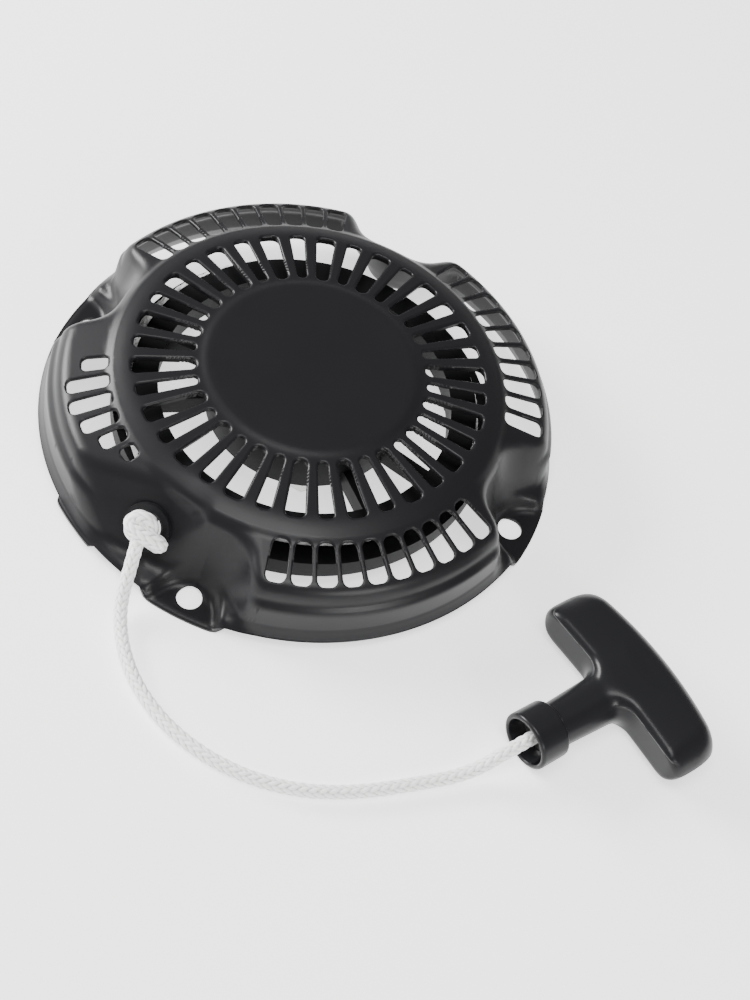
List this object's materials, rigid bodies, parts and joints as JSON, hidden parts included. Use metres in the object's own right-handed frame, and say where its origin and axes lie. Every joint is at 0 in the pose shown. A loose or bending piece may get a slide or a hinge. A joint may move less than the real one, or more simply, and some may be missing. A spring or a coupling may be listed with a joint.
{
  "type": "recoil starter",
  "caption": "Pressed-steel recoil starter with slotted cooling crown, spring-loaded rope reel, swinging pawls, rope eyelet and a T-shaped pull handle.",
  "frame": {"origin": "centre of the bolt circle, in the plane of the ears' undersides", "axes": "+Z along the starter axis away from the engine; +X and +Y through bolt holes"},
  "size_m": [0.2796, 0.2381, 0.038],
  "materials": {
    "case_paint": "satin black paint over pressed steel",
    "steel_zinc": "zinc plated",
    "spring_steel": "blued spring steel",
    "black_moulding": "moulded black plastic",
    "handle_plastic": "glossy black moulded plastic",
    "guide_steel": "pressed steel",
    "rope_nylon": "white braided nylon"
  },
  "bodies": {
    "case": {"housing_case": "case_paint", "centre_post": "steel_zinc", "rope_eyelet": "black_moulding", "centre_screw": "steel_zinc", "screw_washer": "steel_zinc", "exit_strand": "rope_nylon", "eyelet_knot": "rope_nylon", "free_rope": "rope_nylon"},
    "reel": {"reel": "black_moulding", "spring_cover": "guide_steel", "main_spring": "spring_steel", "wound_rope": "rope_nylon", "reel_knot": "rope_nylon", "pawl_pins": "steel_zinc", "pawl_springs": "spring_steel"},
    "guide": {"ratchet_guide": "guide_steel", "friction_spring": "spring_steel"},
    "pawl_a": {"pawl_a": "guide_steel"},
    "pawl_b": {"pawl_b": "guide_steel"},
    "handle": {"grip": "handle_plastic", "grip_ferrule": "black_moulding", "grip_knot": "rope_nylon"}
  },
  "joints": [
    {"name": "handle_pull", "type": "slide", "parent": "case", "child": "handle", "axis": [0.509, 0.8607, 0], "range_m": [0, 0.4]},
    {"name": "reel_spin", "type": "hinge", "parent": "case", "child": "reel", "pos_m": [0, 0, 0.02], "axis": [0, 0, 1], "range_deg": [0, 360], "deforming": ["main_spring", "wound_rope"]},
    {"name": "guide_slip", "type": "hinge", "parent": "reel", "child": "guide", "pos_m": [0, 0, 0.009], "axis": [0, 0, 1], "range_deg": [-30, 0]},
    {"name": "pawl_a_swing", "type": "hinge", "parent": "reel", "child": "pawl_a", "pos_m": [0, 0.026, 0.01], "axis": [0, 0, 1], "range_deg": [-30, 0]},
    {"name": "pawl_b_swing", "type": "hinge", "parent": "reel", "child": "pawl_b", "pos_m": [0, -0.026, 0.01], "axis": [0, 0, 1], "range_deg": [-30, 0]}
  ],
  "couplings": [
    {"joint": "reel_spin", "follows": "handle_pull", "rad_per_m": 15.385},
    {"joint": "pawl_a_swing", "follows": "guide_slip", "ratio": 1},
    {"joint": "pawl_b_swing", "follows": "guide_slip", "ratio": 1}
  ]
}
